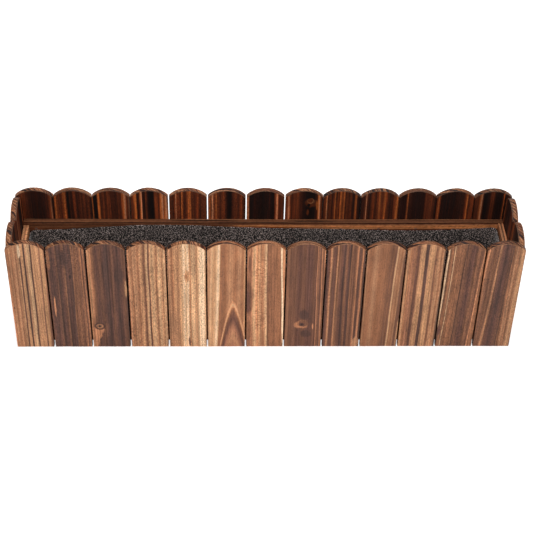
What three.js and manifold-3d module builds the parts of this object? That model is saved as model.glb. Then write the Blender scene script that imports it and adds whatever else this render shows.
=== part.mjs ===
// A window box planter walled with arched pickets. Millimetres, +Z up, front towards -Y,
// origin on the ground under the middle of the box.
//
// Two rings of rails, one below the rim and one near the ground, are nailed at their corners.
// Pickets stand on the ground outside the rings, each stapled from inside through both rails.
// Two floor boards lie on the bottom ring and on two battens, with a gap between them for
// water. A felt liner hangs inside the top ring and lies on the floor boards.
import * as THREE from "three";
import { mergeVertices } from "three/addons/utils/BufferGeometryUtils.js";
import Module from "manifold-3d";

const wasm = await Module();
wasm.setup();

// Pickets
const longPickets = 13; // in the front row, and in the back row
const endPickets = 2; // in the row that closes each end
const picketWidth = 75;
const picketThickness = 13;
const picketGap = 2.6; // between two pickets of the front row or an end row
const tightSeam = 0.4; // between two pickets of the back row, cut wider so that they fill it
const openSeam = 2; // between those of them that stand apart
const openSeams = [4, 5, 6, 7]; // the seams of the back row, from the left, that stand open
const picketEase = 1; // eased edges
const shoulderHeight = 255; // ground to where the arch starts
const archRise = 17; // arch above the shoulders
const cornerClearance = 0.8; // between an end row and the long row it stands against

// Rails, battens and floor
const railThickness = 12;
const railHeight = 25;
const railEase = 0.8;
const rimReveal = 53; // shoulders above the top of the top rails
const leftRailDrop = 7; // the left top rail sits this much lower than the other three
const footClearance = 6; // bottom rails above the ground
const battenPlace = 2.25; // battens from the middle, in pickets, so clear of their staples
const floorThickness = 12;
const drainGap = 4; // between the two floor boards

// Fasteners
const seatGap = 0.3; // between two pieces that bear on each other
const crownWidth = 5.7; // staple, over both legs
const wireWidth = 1.25; // staple wire, along the crown
const wireDepth = 1.05; // staple wire, across the crown
const crownProud = 0.4; // staple crown above the wood
const chisel = 1.5; // cut of the staple points
const stapleDrop = 4; // picket staples below the middle of the rail, clear of the nails
const pointCover = 4; // wood left over the points of the picket staples
const floorBite = 8; // floor staples into the rail or batten
const floorSpread = 18; // floor staples from the middle of their board
const nailDiameter = 2;
const nailHeadDiameter = 4.6;
const nailHeadThickness = 1.1;
const nailPoint = 3;
const nailBite = 18; // nail into the end grain
const nailSides = 10;

// Liner
const linerThickness = 1.6;
const linerCorner = 12; // upright corners, in plan
const linerFold = 5; // radius where the walls turn into the floor
const linerBow = 4; // walls outwards between the two rings
const linerEdgeDrop = 13.2; // mean edge below the top of the top rails
const edgeWave = 6; // slow rise and fall of the edge
const edgeWaveLength = 800;
const edgeWaveShift = 104;
const edgeFlutter = 2; // quicker rise and fall of the edge
const edgeFlutterLength = 400;
const edgeFlutterShift = 177;
const foldDepth = 1.2; // upright folds inwards, fading down the wall
const foldPitch = 155;
const linerLongSteps = 26;
const linerEndSteps = 4;
const linerCornerSteps = 3;
const linerWallSteps = 3;
const linerFoldSteps = 2;

// Sizes that follow
const pitch = picketWidth + picketGap;
const rowLength = (count) => count * pitch - picketGap;
const boxLength = rowLength(longPickets);
const evenSeams = (count) => Array(count - 1).fill(picketGap);
const backSeams = evenSeams(longPickets).map((_, i) =>
  openSeams.includes(i + 1) ? openSeam : tightSeam,
);
const innerDepth = rowLength(endPickets) + 2 * cornerClearance;
const boxDepth = innerDepth + 2 * picketThickness;
const railSetback = picketThickness + seatGap; // outer face of a wall to its rails
const wallBuild = railSetback + railThickness; // outer face of a wall to the inside of its rails
const longRailLength = boxLength - 2 * railSetback;
const endRailLength = boxDepth - 2 * (wallBuild + seatGap);
const topRailTop = shoulderHeight - rimReveal;
const bottomRailTop = footClearance + railHeight;
const floorTop = bottomRailTop + seatGap + floorThickness;
const boardWidth = (innerDepth - 2 * seatGap - drainGap) / 2;
const boardCentre = (drainGap + boardWidth) / 2;
const battenOffset = battenPlace * pitch;
const endRailCentre = boxLength / 2 - railSetback - railThickness / 2;
const nailLength = railThickness + seatGap + nailBite;
const stapleDepth = railHeight / 2 + stapleDrop; // picket staples below the top of their rail
const picketBite = picketThickness - pointCover; // picket staples into the picket
const floorStapleY = [-1, 1].flatMap((way) =>
  [-floorSpread, floorSpread].map((offset) => way * boardCentre + offset),
);
const linerClearance = crownProud + seatGap; // liner to the wood, clear of the staple crowns
const linerHalfX = boxLength / 2 - wallBuild - linerClearance;
const linerHalfY = boxDepth / 2 - wallBuild - linerClearance;
const linerBase = floorTop + linerClearance;
const linerEdge = topRailTop - linerEdgeDrop - linerBase; // mean edge above its underside
const linerNeck = topRailTop - leftRailDrop - railHeight - seatGap - linerBase; // below all rails

// The two ends of the box, and how far the top rail of each sits below the long ones. The nail
// at a corner goes through the middle of what the two rails have in common.
const ends = [
  { side: "left", way: -1, drop: leftRailDrop },
  { side: "right", way: 1, drop: 0 },
];
const cornerNailDepth = (end) => (railHeight + end.drop) / 2;

// Tones of scorched and brushed fir, from the palest board to the most burnt
const tones = {
  straw: 0xb98f5f,
  tan: 0x96693f,
  russet: 0x6f452b,
  brown: 0x53382a,
  plum: 0x44302c,
  soot: 0x241c19,
};
const frontTones = [
  "tan", "plum", "brown", "tan", "straw", "russet", "straw",
  "brown", "plum", "russet", "russet", "brown", "russet",
];
const backTones = [
  "brown", "soot", "plum", "plum", "brown", "russet", "soot",
  "brown", "plum", "plum", "soot", "soot", "plum",
];
const endTones = ["russet", "brown"];
const wood = (tone) =>
  new THREE.MeshStandardMaterial({ color: tones[tone], roughness: 0.75, metalness: 0 });
const felt = new THREE.MeshStandardMaterial({ color: 0x35353a, roughness: 1, metalness: 0 });
const steel = new THREE.MeshStandardMaterial({ color: 0x8d9095, roughness: 0.4, metalness: 1 });

// ---- solids ----

function solidOf(geometry) {
  const bare = geometry.clone();
  bare.deleteAttribute("normal");
  bare.deleteAttribute("uv");
  const merged = mergeVertices(bare, 1e-4);
  return new wasm.Manifold(
    new wasm.Mesh({
      numProp: 3,
      vertProperties: merged.attributes.position.array,
      triVerts: new Uint32Array(merged.index.array),
    }),
  );
}

// The body less what is cut from it, with what is joined to it.
function worked(body, { cut = [], join = [] }) {
  let solid = solidOf(body);
  for (const tool of cut) solid = solid.subtract(solidOf(tool));
  for (const piece of join) solid = solid.add(solidOf(piece));
  const mesh = solid.getMesh();
  const shared = new THREE.BufferGeometry()
    .setAttribute("position", new THREE.BufferAttribute(mesh.vertProperties, 3))
    .setIndex(new THREE.BufferAttribute(mesh.triVerts, 1));
  const faceted = shared.toNonIndexed();
  faceted.computeVertexNormals();
  return faceted;
}

function piece(name, geometry, material) {
  const mesh = new THREE.Mesh(geometry, material);
  mesh.name = name;
  return mesh;
}

// ---- timber ----

// A picket on the ground, its outer face at y = 0 and its width along X.
function picketGeometry(width) {
  const half = width / 2;
  const radius = (half * half + archRise * archRise) / (2 * archRise);
  const centre = shoulderHeight + archRise - radius;
  const spread = Math.asin(half / radius);
  const outline = new THREE.Shape();
  outline.moveTo(-half, 0);
  outline.lineTo(half, 0);
  outline.absarc(0, centre, radius, Math.PI / 2 - spread, Math.PI / 2 + spread, false);
  outline.closePath();
  return new THREE.ExtrudeGeometry(outline, {
    depth: picketThickness - 2 * picketEase,
    curveSegments: 10,
    bevelSegments: 1,
    bevelThickness: picketEase,
    bevelSize: picketEase,
    bevelOffset: -picketEase,
  })
    .translate(0, 0, picketEase)
    .rotateX(Math.PI / 2)
    .translate(0, picketThickness, 0);
}

// A sawn length with eased long edges, along X: its outer face at y = 0 and its top at z = 0.
function stripGeometry(length, across, down) {
  const e = railEase;
  const section = new THREE.Shape([
    new THREE.Vector2(0, -e),
    new THREE.Vector2(0, e - down),
    new THREE.Vector2(e, -down),
    new THREE.Vector2(across - e, -down),
    new THREE.Vector2(across, e - down),
    new THREE.Vector2(across, -e),
    new THREE.Vector2(across - e, 0),
    new THREE.Vector2(e, 0),
  ]);
  // The section's own X becomes Y, its Y becomes Z, and its depth becomes X.
  const turn = new THREE.Matrix4().makeBasis(
    new THREE.Vector3(0, 1, 0),
    new THREE.Vector3(0, 0, 1),
    new THREE.Vector3(1, 0, 0),
  );
  return new THREE.ExtrudeGeometry(section, { depth: length, bevelEnabled: false })
    .translate(0, 0, -length / 2)
    .applyMatrix4(turn);
}

// ---- fasteners ----

// A staple with its crown along X, its outside at y = 0, and its legs towards -Y.
function stapleGeometry(legLength) {
  const half = crownWidth / 2;
  const outline = new THREE.Shape([
    new THREE.Vector2(-half, 0),
    new THREE.Vector2(-half, -legLength),
    new THREE.Vector2(wireWidth - half, chisel - legLength),
    new THREE.Vector2(wireWidth - half, -wireWidth),
    new THREE.Vector2(half - wireWidth, -wireWidth),
    new THREE.Vector2(half - wireWidth, chisel - legLength),
    new THREE.Vector2(half, -legLength),
    new THREE.Vector2(half, 0),
  ]);
  return new THREE.ExtrudeGeometry(outline, { depth: wireDepth, bevelEnabled: false })
    .translate(0, 0, -wireDepth / 2);
}

// The two blind slots that a staple's legs need, into a face at y = 0 and towards -Y.
function legSlots(bite) {
  const legCentre = (crownWidth - wireWidth) / 2;
  const [width, depth] = [wireWidth, wireDepth].map((wire) => wire + 2 * seatGap);
  return [-legCentre, legCentre].map((x) =>
    new THREE.BoxGeometry(width, bite + 2 * seatGap, depth).translate(x, -bite / 2, 0),
  );
}

// A nail, its head at y = 0 and pointing towards +Y.
function nailGeometry() {
  const head = nailHeadDiameter / 2;
  const shank = nailDiameter / 2;
  const profile = [
    new THREE.Vector2(0, 0),
    new THREE.Vector2(head, 0),
    new THREE.Vector2(head, nailHeadThickness),
    new THREE.Vector2(shank, nailHeadThickness),
    new THREE.Vector2(shank, nailLength - nailPoint),
    new THREE.Vector2(0, nailLength),
  ];
  return new THREE.LatheGeometry(profile, nailSides);
}

// The hole that a nail sits in, sunk for its head and flat at the bottom.
function boreGeometry() {
  const head = nailHeadDiameter / 2 + seatGap;
  const shank = nailDiameter / 2 + seatGap;
  const under = nailHeadThickness + seatGap;
  const end = nailLength + seatGap;
  const profile = [
    new THREE.Vector2(0, -seatGap),
    new THREE.Vector2(head, -seatGap),
    new THREE.Vector2(head, under),
    new THREE.Vector2(shank, under),
    new THREE.Vector2(shank, end),
    new THREE.Vector2(0, end),
  ];
  return new THREE.LatheGeometry(profile, nailSides);
}

// The two bores in the end grain of a crosspiece, for nails at a height below its top.
function endGrainBores(height) {
  const headOut = endRailLength / 2 + seatGap + railThickness;
  return [-1, 1].map((end) =>
    boreGeometry()
      .rotateZ((end * Math.PI) / 2)
      .translate(end * headOut, railThickness / 2, height),
  );
}

// The slots in the top of a crosspiece for the legs of the floor staples.
function floorSlots() {
  return floorStapleY.flatMap((y) =>
    legSlots(floorBite).map((slot) =>
      slot.rotateX(Math.PI / 2).translate(y, railThickness / 2, 0),
    ),
  );
}

// ---- walls ----
// A wall is built with its outer faces at y = 0 and its inside towards +Y, then turned into
// place. Its order is 1 where its pickets are numbered towards +X before the turn, else -1.

// A row has the width of its pickets, and their middles from the middle of the row.
function rowOf(seams) {
  const count = seams.length + 1;
  const width = (rowLength(count) - seams.reduce((sum, seam) => sum + seam, 0)) / count;
  const middles = [(width - rowLength(count)) / 2];
  for (const seam of seams) middles.push(middles.at(-1) + width + seam);
  return { width, middles };
}

function pickets(side, order, row, topRail, rowTones) {
  const slots = [topRail, bottomRailTop].flatMap((top) =>
    legSlots(picketBite).map((slot) => slot.translate(0, picketThickness, top - stapleDepth)),
  );
  const shape = worked(picketGeometry(row.width), { cut: slots });
  return row.middles.map((x, i) => {
    const number = String(i + 1).padStart(String(row.middles.length).length, "0");
    const picket = piece(side + "_picket_" + number, shape, wood(rowTones[i % rowTones.length]));
    picket.position.x = order * x;
    return picket;
  });
}

function rail(name, order, length, row, top, cut) {
  const staples = row.middles.map((x) =>
    stapleGeometry(crownProud + railThickness + seatGap + picketBite).translate(
      order * x,
      railThickness + crownProud,
      -stapleDepth,
    ),
  );
  const body = stripGeometry(length, railThickness, railHeight);
  const mesh = piece(name, worked(body, { cut, join: staples }), wood("brown"));
  mesh.position.set(0, railSetback, top);
  return mesh;
}

function nail(name, x, z) {
  const mesh = piece(name, nailGeometry(), steel);
  mesh.position.set(x, railSetback, z);
  return mesh;
}

function longWall(side, order, seams, rowTones) {
  const group = new THREE.Group();
  const row = rowOf(seams);
  const corner = (end) => order * end.way * endRailCentre;
  const bore = (x, z) => boreGeometry().translate(x, 0, z);

  const topBores = ends.map((end) => bore(corner(end), -cornerNailDepth(end)));
  const bottomBores = ends.flatMap((end) => [
    bore(corner(end), -railHeight / 2),
    bore(end.way * battenOffset, -railHeight / 2),
  ]);
  group.add(
    ...pickets(side, order, row, topRailTop, rowTones),
    rail("top_rail_" + side, order, longRailLength, row, topRailTop, topBores),
    rail("bottom_rail_" + side, order, longRailLength, row, bottomRailTop, bottomBores),
  );
  for (const end of ends) {
    const place = side + "_" + end.side;
    const bottomZ = bottomRailTop - railHeight / 2;
    group.add(
      nail("corner_nail_top_" + place, corner(end), topRailTop - cornerNailDepth(end)),
      nail("corner_nail_bottom_" + place, corner(end), bottomZ),
      nail("batten_nail_" + place, order * end.way * battenOffset, bottomZ),
    );
  }
  return group;
}

function endWall(end, order, rowTones) {
  const group = new THREE.Group();
  const row = rowOf(evenSeams(endPickets));
  const top = topRailTop - end.drop;
  const topBores = endGrainBores(end.drop - cornerNailDepth(end));
  const bottomCuts = [...endGrainBores(-railHeight / 2), ...floorSlots()];
  group.add(
    ...pickets(end.side, order, row, top, rowTones),
    rail("top_rail_" + end.side, order, endRailLength, row, top, topBores),
    rail("bottom_rail_" + end.side, order, endRailLength, row, bottomRailTop, bottomCuts),
  );
  return group;
}

// ---- floor ----

function batten(end) {
  const body = stripGeometry(endRailLength, railThickness, railHeight);
  const cut = [...endGrainBores(-railHeight / 2), ...floorSlots()];
  const mesh = piece("floor_batten_" + end.side, worked(body, { cut }), wood("brown"));
  mesh.rotation.z = Math.PI / 2;
  mesh.position.set(end.way * battenOffset + railThickness / 2, 0, bottomRailTop);
  return mesh;
}

function floorBoard(side, way) {
  const legLength = crownProud + floorThickness + seatGap + floorBite;
  const staples = [endRailCentre, battenOffset].flatMap((x) =>
    [-x, x].flatMap((at) =>
      [-floorSpread, floorSpread].map((offset) =>
        stapleGeometry(legLength)
          .rotateX(Math.PI / 2)
          .rotateZ(Math.PI / 2)
          .translate(at, boardWidth / 2 + offset, crownProud),
      ),
    ),
  );
  const body = stripGeometry(longRailLength, boardWidth, floorThickness);
  const mesh = piece("floor_board_" + side, worked(body, { join: staples }), wood("russet"));
  mesh.position.set(0, way * boardCentre - boardWidth / 2, floorTop);
  return mesh;
}

// ---- liner ----
// One piece of felt. Stations run round it anticlockwise, each with a centre that the rounded
// corner is struck from and a direction outwards; a skin is a ring of points at each level.

function linerStations() {
  const coreX = linerHalfX - linerCorner;
  const coreY = linerHalfY - linerCorner;
  const centres = [[-coreX, -coreY], [coreX, -coreY], [coreX, coreY], [-coreX, coreY]];
  const stations = [];
  centres.forEach(([x0, y0], k) => {
    const [x1, y1] = centres[(k + 1) % centres.length];
    const steps = k % 2 ? linerEndSteps : linerLongSteps;
    const facing = ((k - 1) * Math.PI) / 2;
    for (let i = 0; i <= steps; i++) {
      const t = i / steps;
      stations.push({ x: x0 + t * (x1 - x0), y: y0 + t * (y1 - y0), facing });
    }
    for (let i = 1; i < linerCornerSteps; i++) {
      const turn = ((i / linerCornerSteps) * Math.PI) / 2;
      stations.push({ x: x1, y: y1, facing: facing + turn });
    }
  });
  return stations;
}

// The levels of one skin at a station, from the edge down: how far in from the outside, and
// how high above the underside. The inner skin lies one thickness in from the outer one.
function linerLevels({ x, y }, inner) {
  const wall = inner ? linerThickness : 0;
  const along = x + y;
  const wave = (length, shift) => Math.cos((2 * Math.PI * (along + shift)) / length);
  const rise = edgeWave * wave(edgeWaveLength, edgeWaveShift);
  const edge = linerEdge + rise + edgeFlutter * wave(edgeFlutterLength, edgeFlutterShift);
  const fold = (z) =>
    (foldDepth * (1 + wave(foldPitch, 0)) * (z - linerFold)) / (2 * (edge - linerFold));

  const levels = [{ inset: fold(edge) + wall, z: edge }];
  for (let i = 0; i <= linerWallSteps; i++) {
    const t = i / linerWallSteps;
    const z = linerNeck + t * (linerFold - linerNeck);
    levels.push({ inset: fold(z) + wall - linerBow * Math.sin(t * Math.PI), z });
  }
  for (let i = 1; i <= linerFoldSteps; i++) {
    const turn = ((i / linerFoldSteps) * Math.PI) / 2;
    const radius = linerFold - wall;
    levels.push({
      inset: linerFold - radius * Math.cos(turn),
      z: linerFold - radius * Math.sin(turn),
    });
  }
  return levels;
}

// Triangles of a skin's floor, seen from above: strips between the long sides and a row of
// points down the middle, and a fan round each end of that row.
function linerFloor(ring, spine, count) {
  const last = linerLongSteps;
  const back = last + linerCornerSteps + linerEndSteps + linerCornerSteps;
  const triangles = [];
  for (let k = 1; k < last - 1; k++) {
    const far = back + last - k;
    triangles.push([ring(k), ring(k + 1), spine(k + 1)]);
    triangles.push([ring(k), spine(k + 1), spine(k)]);
    triangles.push([spine(k), spine(k + 1), ring(far - 1)]);
    triangles.push([spine(k), ring(far - 1), ring(far)]);
  }
  const fan = (centre, from, to) => {
    for (let i = from; i < to; i++) {
      triangles.push([centre, ring(i % count), ring((i + 1) % count)]);
    }
  };
  fan(spine(last - 1), last - 1, back + 1);
  fan(spine(1), back + last - 1, count + 1);
  return triangles;
}

function linerGeometry() {
  const stations = linerStations();
  const count = stations.length;
  const points = [];
  const triangles = [];
  const skins = [false, true].map((inner) => {
    const start = points.length;
    const columns = stations.map((station) => linerLevels(station, inner));
    const levels = columns[0].length;
    for (let level = 0; level < levels; level++) {
      stations.forEach(({ x, y, facing }, i) => {
        const { inset, z } = columns[i][level];
        const reach = linerCorner - inset;
        points.push([x + reach * Math.cos(facing), y + reach * Math.sin(facing), z]);
      });
    }
    const ring = (level) => (i) => start + level * count + (i % count);
    const faces = [];
    for (let level = 0; level < levels - 1; level++) {
      const [upper, lower] = [ring(level), ring(level + 1)];
      for (let i = 0; i < count; i++) {
        faces.push([lower(i), lower(i + 1), upper(i)], [lower(i + 1), upper(i + 1), upper(i)]);
      }
    }
    const middle = points.length;
    const height = inner ? linerThickness : 0;
    for (let k = 1; k < linerLongSteps; k++) points.push([stations[k].x, 0, height]);
    const floor = linerFloor(ring(levels - 1), (k) => middle + k - 1, count);
    const flip = ([a, b, c]) => [a, c, b];
    triangles.push(...(inner ? [...faces.map(flip), ...floor] : [...faces, ...floor.map(flip)]));
    return ring(0);
  });
  const [outer, innerRing] = skins;
  for (let i = 0; i < count; i++) {
    triangles.push([outer(i), outer(i + 1), innerRing(i)]);
    triangles.push([outer(i + 1), innerRing(i + 1), innerRing(i)]);
  }
  const geometry = new THREE.BufferGeometry()
    .setAttribute("position", new THREE.Float32BufferAttribute(points.flat(), 3))
    .setIndex(triangles.flat());
  geometry.computeVertexNormals();
  return geometry;
}

// ---- the whole box ----

const box = new THREE.Group();

const frontWall = longWall("front", 1, evenSeams(longPickets), frontTones);
frontWall.position.y = -boxDepth / 2;
const backWall = longWall("back", -1, backSeams, backTones);
backWall.position.y = boxDepth / 2;
backWall.rotation.z = Math.PI;
box.add(frontWall, backWall);

for (const end of ends) {
  const turned = endWall(end, end.way, endTones);
  turned.position.x = (end.way * boxLength) / 2;
  turned.rotation.z = (end.way * Math.PI) / 2;
  box.add(turned, batten(end));
}
box.add(floorBoard("front", -1), floorBoard("back", 1));

const liner = piece("liner", linerGeometry(), felt);
liner.position.z = linerBase;
box.add(liner);

export default box;
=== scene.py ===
import math
import bpy
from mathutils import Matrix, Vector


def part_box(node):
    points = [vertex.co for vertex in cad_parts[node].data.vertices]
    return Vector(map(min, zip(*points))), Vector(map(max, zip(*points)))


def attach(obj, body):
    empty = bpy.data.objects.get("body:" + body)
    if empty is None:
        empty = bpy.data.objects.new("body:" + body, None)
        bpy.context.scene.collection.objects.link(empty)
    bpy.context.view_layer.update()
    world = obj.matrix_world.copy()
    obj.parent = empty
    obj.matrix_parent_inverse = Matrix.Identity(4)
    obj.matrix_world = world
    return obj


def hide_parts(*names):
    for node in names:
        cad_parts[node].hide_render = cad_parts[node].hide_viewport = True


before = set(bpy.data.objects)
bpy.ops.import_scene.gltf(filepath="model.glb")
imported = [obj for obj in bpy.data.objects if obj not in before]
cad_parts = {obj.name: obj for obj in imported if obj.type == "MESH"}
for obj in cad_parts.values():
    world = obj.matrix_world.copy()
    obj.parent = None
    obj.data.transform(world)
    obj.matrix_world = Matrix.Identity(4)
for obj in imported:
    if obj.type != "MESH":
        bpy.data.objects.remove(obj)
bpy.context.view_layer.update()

# Camera. It looks down on the box from the front, a little left of its middle, through a long
# lens. Place, angles and lens were fitted to the outlines of the pickets in the photograph.
bpy.ops.object.select_all(action="DESELECT")
bpy.ops.object.camera_add(
    location=(-0.0759, -2.0811, 1.9148), rotation=(0.864584, -0.019163, -0.021915)
)
camera = bpy.context.object
camera.name = "camera"
camera.data.lens = 90.96
bpy.context.scene.camera = camera

# Floor and studio light. A plain, almost white sheet that runs out of sight, one large soft light
# high at the front left, a weaker one at the right, and one from behind for the arches.
bpy.ops.mesh.primitive_plane_add(size=14, location=(0, 0, -0.0002))
floor = bpy.context.object
floor.name = "studio_floor"
pale = bpy.data.materials.new("studio_white")
pale.use_nodes = True
paint = pale.node_tree.nodes["Principled BSDF"]
paint.inputs["Base Color"].default_value = (0.86, 0.86, 0.86, 1)
paint.inputs["Roughness"].default_value = 0.9
paint.inputs["Specular IOR Level"].default_value = 0.1
paint.inputs["Emission Color"].default_value = (1, 1, 1, 1)
paint.inputs["Emission Strength"].default_value = 0.66
floor.data.materials.append(pale)


def softbox(name, place, target, size, power):
    """A square area light at place, turned to target."""
    bpy.ops.object.light_add(type="AREA", location=place)
    lamp = bpy.context.object
    lamp.name = name
    lamp.data.shape = "SQUARE"
    lamp.data.size = size
    lamp.data.energy = power
    away = [p - t for p, t in zip(place, target)]
    lamp.rotation_euler = (
        math.acos(away[2] / math.dist(place, target)),
        0,
        math.atan2(away[0], -away[1]),
    )


softbox("key_light", (-0.5, -1.9, 2.0), (-0.05, 0, 0.15), size=1.3, power=22)
softbox("fill_light", (1.7, -1.7, 1.3), (0, 0, 0.15), size=1.6, power=6)
softbox("top_light", (0.2, 0.7, 2.2), (0, 0, 0.2), size=1.4, power=23)
sky = bpy.data.worlds.new("studio_air")
sky.use_nodes = True
sky.node_tree.nodes["Background"].inputs["Color"].default_value = (1, 1, 1, 1)
sky.node_tree.nodes["Background"].inputs["Strength"].default_value = 0.32
bpy.context.scene.world = sky
bpy.context.scene.view_settings.view_transform = "Standard"

# The two rings of rails. Each rail is a planed fir lath, 12 by 25 mm, scorched and brushed like
# the pickets but plainer. The long rails run the whole length, the end rails stand between them,
# and the left one of the top ring sits 7 mm low, as in the photograph.
tones = {
    "cream": (232, 197, 163),
    "straw": (206, 161, 122),
    "honey": (190, 139, 100),
    "copper": (200, 134, 95),
    "tan": (174, 124, 90),
    "rose": (164, 110, 82),
    "rust": (152, 100, 68),
    "russet": (137, 90, 62),
    "cocoa": (116, 75, 54),
    "plum": (100, 63, 50),
    "dusk": (82, 53, 43),
    "soot": (58, 36, 28),
    "blaze": (234, 150, 97),
    "ember": (176, 96, 48),
    "umber": (104, 52, 28),
    "bark": (66, 33, 20),
    "pitch": (40, 20, 14),
    "night": (24, 13, 10),
}
warmth = (1.0, 0.95, 0.89)


def tone(name):
    """A named tone of scorched fir, as linear colour, a little warmer than it is named."""
    return tuple((value / 255) ** 2.2 * part for value, part in zip(tones[name], warmth)) + (1,)


def joined(tree, kind, outlet=0, **inlets):
    """A new node in a material. An inlet's name is in_ and its number, and its value is a number,
    a colour or another node's outlet. Anything else is a setting of the node."""
    made = tree.nodes.new(kind)
    for key, value in inlets.items():
        if not key.startswith("in_"):
            setattr(made, key, value)
    for key, value in inlets.items():
        if key.startswith("in_"):
            socket = made.inputs[int(key[3:])]
            if isinstance(value, bpy.types.NodeSocket):
                tree.links.new(value, socket)
            else:
                socket.default_value = value
    return made.outputs[outlet]


def scorched_fir(name, low, high, grain, through, stripes, inner=None, inward=0, lean=(0, 0),
                 knots=(), marks=(), inner_marks=(), arch=None, curl=(), ends=(1.0, 0.9),
                 flecks=0.3, wander=0.035, shade=1.0, wrap=0, smooth=0.0):
    """Scorched and brushed fir for a board between low and high. Grain runs along one axis, and
    through is the axis of the board's thickness. A string of tones is read as places from 0 to 1
    and the tone at each, and a height is a place along the grain, in metres.
    stripes: tones across the board. They shift by lean from the top to the foot, at each edge,
        and stray by wander on their way.
    inner: stripes of the face on the inward side, which is scorched darker.
    knots: (across, height, size, tones from the middle out).
    marks, inner_marks: patches, as (across, height, half width, half height, tone).
    arch: (across, height, rise, tones) of a pointed figure where the growth rings run out.
    curl: (from, to, foot, top, strength) of fine ripples that cross the grain.
    ends: how fast the growth rings cross the end grain, across and through the board.
    flecks: how many short pale dashes the brush left. smooth: how little the rings stand out.
    shade: a factor for the whole board. wrap: 1 or -1 runs a rail's stripes on over its top."""
    wide = 3 - grain - through
    length = high[grain] - low[grain]
    width = high[wide] - low[wide]
    middle = [(a + b) / 2 for a, b in zip(low, high)]
    seed = sum(ord(letter) * (place + 3) for place, letter in enumerate(name)) % 97
    finish = bpy.data.materials.new(name)
    finish.use_nodes = True
    tree = finish.node_tree
    wood = tree.nodes["Principled BSDF"]

    def work(how, a, b=0.0, c=0.0):
        return joined(tree, "ShaderNodeMath", operation=how, in_0=a, in_1=b, in_2=c)

    def spread(value, a, b, c=0.0, d=1.0, how="LINEAR"):
        return joined(tree, "ShaderNodeMapRange", interpolation_type=how,
                      in_0=value, in_1=a, in_2=b, in_3=c, in_4=d)

    def grained(size, stretch, detail=2.0, shift=0.0):
        """Noise whose lumps are size millimetres across the grain and stretched along it. Shift
        takes another part of it, so that no two patterns on a board run together."""
        scale = [1000.0 / size] * 3
        scale[grain] = 1000.0 / size / stretch
        where = joined(tree, "ShaderNodeMapping", in_0=place,
                       in_1=(seed * 1.7 + shift, seed * 0.9 - shift, shift), in_3=scale)
        return joined(tree, "ShaderNodeTexNoise", in_0=where, in_2=1.0, in_3=detail)

    def swing(noise, by):
        """The noise as a shift to both sides, by wide in all."""
        return work("MULTIPLY_ADD", noise, by, -by / 2)

    def offset(value, spot, scale):
        return work("MULTIPLY", work("SUBTRACT", value, spot), scale)

    def squares(a, b):
        return work("ADD", work("POWER", a, 2), work("POWER", b, 2))

    def blended(factor, a, b, how="MIX"):
        return joined(tree, "ShaderNodeMix", 2, data_type="RGBA", blend_type=how,
                      in_0=factor, in_6=a, in_7=b)

    def tinted(colour, red, green, blue):
        return blended(1.0, colour, (red, green, blue, 1), "MULTIPLY")

    def ramp(value, words):
        made = tree.nodes.new("ShaderNodeValToRGB")
        tree.links.new(value, made.inputs[0])
        words = words.split()
        stops = made.color_ramp.elements
        for number, (spot, tint) in enumerate(zip(words[::2], words[1::2])):
            stop = stops[number] if number < 2 else stops.new(float(spot))
            stop.position = float(spot)
            stop.color = tone(tint)
        return made.outputs[0]

    def daubed(colour, patches):
        """The colour with soft-edged patches that keep to the traced stripes."""
        for spot, height, half_width, half_height, tint in patches:
            beside = offset(traced, spot, width / half_width)
            above = offset(axes[grain], height, 1 / half_height)
            away = work("SQRT", squares(beside, above))
            away = work("ADD", away, swing(grained(6, 2.5, 3.0, 2.0), 0.8))
            colour = blended(spread(away, 1.2, 0.7, how="SMOOTHSTEP"), colour, tone(tint))
        return colour

    # Places on the board: plain runs from 0 to 1 across it, down from 0 to 1 along it, and deep
    # is the distance from the middle of its thickness. Across is plain, bent as the grain is.
    place = joined(tree, "ShaderNodeTexCoord", 3)
    parted = tree.nodes.new("ShaderNodeSeparateXYZ")
    tree.links.new(place, parted.inputs[0])
    axes = parted.outputs
    down = work("DIVIDE", work("SUBTRACT", high[grain], axes[grain]), length)
    deep = work("SUBTRACT", axes[through], middle[through])
    plain = work("MULTIPLY_ADD", axes[wide], 1 / width, 0.5 - middle[wide] / width)
    if wrap:
        thick = high[through] - low[through]
        both = width + thick
        buried = work("MULTIPLY_ADD", deep, wrap / both, 0.5 * thick / both)
        plain = work("MULTIPLY_ADD", plain, width / both, buried)
    drift = work("MULTIPLY", down, spread(plain, 0, 1, *lean))
    slow = swing(grained(34, 5, 1.0, 3.1), 2 * wander)
    quick = swing(grained(4.5, 7, 2.0, 7.7), 0.016)
    traced = work("ADD", work("SUBTRACT", plain, drift), work("ADD", slow, quick))
    across = traced
    for spot, height, size, _ in knots:
        beside = offset(plain, spot, width / size / 1.5)
        above = offset(axes[grain], height, 0.4 / size)
        near = work("EXPONENT", work("MULTIPLY", squares(beside, above), -1.0))
        across = work("SUBTRACT", across, work("MULTIPLY", near, offset(plain, spot, 0.75)))

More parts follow.
